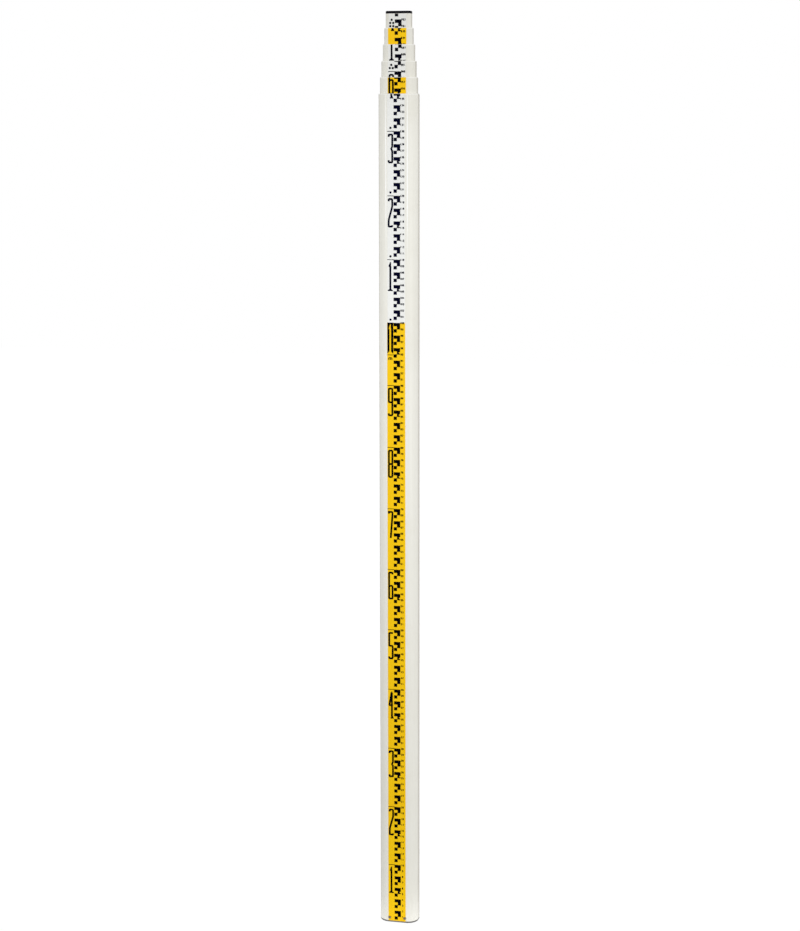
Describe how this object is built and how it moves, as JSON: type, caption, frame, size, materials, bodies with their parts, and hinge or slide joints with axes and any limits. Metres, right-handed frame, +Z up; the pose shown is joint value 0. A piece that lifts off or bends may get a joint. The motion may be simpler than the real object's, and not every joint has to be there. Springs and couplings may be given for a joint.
{
  "type": "leveling staff",
  "caption": "Telescopic leveling staff: nested round-oval tubes with a graduated front that slide out and are held by spring lock buttons, standing on a flat foot plate.",
  "frame": {"origin": "middle of the foot plate's underside, the zero of the scale", "axes": "+Z up the staff, the graduated front faces -Y, +X to the right seen from the front"},
  "size_m": [0.0636, 0.0444, 1.4847],
  "materials": {
    "tube_fibreglass": "white pigmented glass-fibre laminate, smooth and slightly glossy",
    "scale_film": "printed scale in black on white and yellow under a clear satin coat",
    "plug_nylon": "moulded dark grey nylon",
    "pin_aluminium": "bright drawn pin",
    "button_steel": "turned and tumbled stainless steel",
    "spring_steel": "drawn spring wire",
    "foot_steel": "dark worn steel",
    "fastener_steel": "plain zinc-plated fastener",
    "cap_plastic": "moulded black plastic"
  },
  "bodies": {
    "section_1": {"section_1_tube": "tube_fibreglass", "section_1_scale": "scale_film", "foot_plug": "plug_nylon", "foot_plate": "foot_steel", "foot_screws": "fastener_steel", "foot_rivets": "fastener_steel"},
    "section_2": {"section_2_tube": "tube_fibreglass", "section_2_scale": "scale_film", "section_2_plug": "plug_nylon", "section_2_pins": "pin_aluminium", "section_2_lock_spring": "spring_steel"},
    "section_3": {"section_3_tube": "tube_fibreglass", "section_3_scale": "scale_film", "section_3_plug": "plug_nylon", "section_3_pins": "pin_aluminium", "section_3_lock_spring": "spring_steel"},
    "section_4": {"section_4_tube": "tube_fibreglass", "section_4_scale": "scale_film", "section_4_plug": "plug_nylon", "section_4_pins": "pin_aluminium", "section_4_lock_spring": "spring_steel"},
    "section_5": {"section_5_tube": "tube_fibreglass", "section_5_scale": "scale_film", "section_5_plug": "plug_nylon", "section_5_pins": "pin_aluminium", "section_5_lock_spring": "spring_steel"},
    "section_6": {"section_6_tube": "tube_fibreglass", "section_6_scale": "scale_film", "section_6_plug": "plug_nylon", "section_6_pins": "pin_aluminium", "section_6_lock_spring": "spring_steel", "top_cap": "cap_plastic"},
    "lock_button_2": {"section_2_lock_button": "button_steel"},
    "lock_button_3": {"section_3_lock_button": "button_steel"},
    "lock_button_4": {"section_4_lock_button": "button_steel"},
    "lock_button_5": {"section_5_lock_button": "button_steel"},
    "lock_button_6": {"section_6_lock_button": "button_steel"}
  },
  "joints": [
    {"name": "section_2_slide", "type": "slide", "parent": "section_1", "child": "section_2", "axis": [0, 0, 1], "range_m": [0, 1.1943]},
    {"name": "section_3_slide", "type": "slide", "parent": "section_2", "child": "section_3", "axis": [0, 0, 1], "range_m": [0, 1.2138]},
    {"name": "section_4_slide", "type": "slide", "parent": "section_3", "child": "section_4", "axis": [0, 0, 1], "range_m": [0, 1.2338]},
    {"name": "section_5_slide", "type": "slide", "parent": "section_4", "child": "section_5", "axis": [0, 0, 1], "range_m": [0, 1.2548]},
    {"name": "section_6_slide", "type": "slide", "parent": "section_5", "child": "section_6", "axis": [0, 0, 1], "range_m": [0, 1.252]},
    {"name": "lock_button_2_travel", "type": "slide", "parent": "section_2", "child": "lock_button_2", "axis": [0, 1, 0], "range_m": [0, 0.0024], "stiffness_N_per_m": 300, "springref_m": 0.006, "deforming": ["section_2_lock_spring"]},
    {"name": "lock_button_3_travel", "type": "slide", "parent": "section_3", "child": "lock_button_3", "axis": [0, 1, 0], "range_m": [0, 0.0024], "stiffness_N_per_m": 300, "springref_m": 0.006, "deforming": ["section_3_lock_spring"]},
    {"name": "lock_button_4_travel", "type": "slide", "parent": "section_4", "child": "lock_button_4", "axis": [0, 1, 0], "range_m": [0, 0.0024], "stiffness_N_per_m": 300, "springref_m": 0.006, "deforming": ["section_4_lock_spring"]},
    {"name": "lock_button_5_travel", "type": "slide", "parent": "section_5", "child": "lock_button_5", "axis": [0, 1, 0], "range_m": [0, 0.0024], "stiffness_N_per_m": 300, "springref_m": 0.006, "deforming": ["section_5_lock_spring"]},
    {"name": "lock_button_6_travel", "type": "slide", "parent": "section_6", "child": "lock_button_6", "axis": [0, 1, 0], "range_m": [0, 0.0024], "stiffness_N_per_m": 300, "springref_m": 0.006, "deforming": ["section_6_lock_spring"]}
  ]
}
